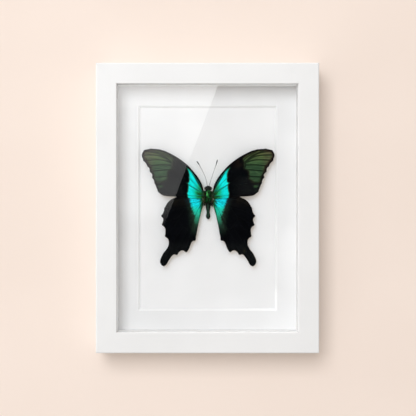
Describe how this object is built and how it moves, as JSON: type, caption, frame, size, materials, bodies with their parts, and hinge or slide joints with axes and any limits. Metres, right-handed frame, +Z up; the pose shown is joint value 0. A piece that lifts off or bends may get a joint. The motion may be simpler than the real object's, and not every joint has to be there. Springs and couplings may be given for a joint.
{
  "type": "framed butterfly specimen",
  "caption": "Glazed white box frame with a bevelled window mat, holding a spread swallowtail butterfly with turquoise and green bands on black wings.",
  "frame": {"origin": "middle of the bottom edge, half way through the depth, where the frame stands", "axes": "+Z up the frame, towards the specimen's head; +X to the right of someone who looks at the picture side; -Y out of the picture side, +Y towards the wall"},
  "size_m": [0.165, 0.032, 0.2145],
  "materials": {
    "white_paint": "wood moulding painted satin white",
    "picture_glass": "clear float glass, polished",
    "white_card": "matt white mat board and foam board",
    "hardboard": "brown pressed hardboard, matt",
    "zinc_steel": "zinc plated, satin",
    "forewing_scales": "black scales with a turquoise band and a dusted green tip",
    "hindwing_scales": "black scales with a cyan band fading to green",
    "body_hair": "black chitin with green-gold hair",
    "antenna_chitin": "black chitin, satin"
  },
  "bodies": {
    "root": {"rail_top": "white_paint", "rail_bottom": "white_paint", "rail_left": "white_paint", "rail_right": "white_paint", "glass": "picture_glass", "spacer_top": "white_card", "spacer_bottom": "white_card", "spacer_left": "white_card", "spacer_right": "white_card", "window_mat": "white_card", "mount_board": "white_card", "back_panel": "hardboard", "point_top": "zinc_steel", "point_bottom": "zinc_steel", "point_left_upper": "zinc_steel", "point_left_lower": "zinc_steel", "point_right_upper": "zinc_steel", "point_right_lower": "zinc_steel", "corner_nail_top_left": "zinc_steel", "corner_nail_top_right": "zinc_steel", "corner_nail_bottom_left": "zinc_steel", "corner_nail_bottom_right": "zinc_steel", "sawtooth_hanger": "zinc_steel", "hanger_screw_left": "zinc_steel", "hanger_screw_right": "zinc_steel", "forewing_left": "forewing_scales", "forewing_right": "forewing_scales", "hindwing_left": "hindwing_scales", "hindwing_right": "hindwing_scales", "body": "body_hair", "antenna_left": "antenna_chitin", "antenna_right": "antenna_chitin"}
  },
  "joints": []
}
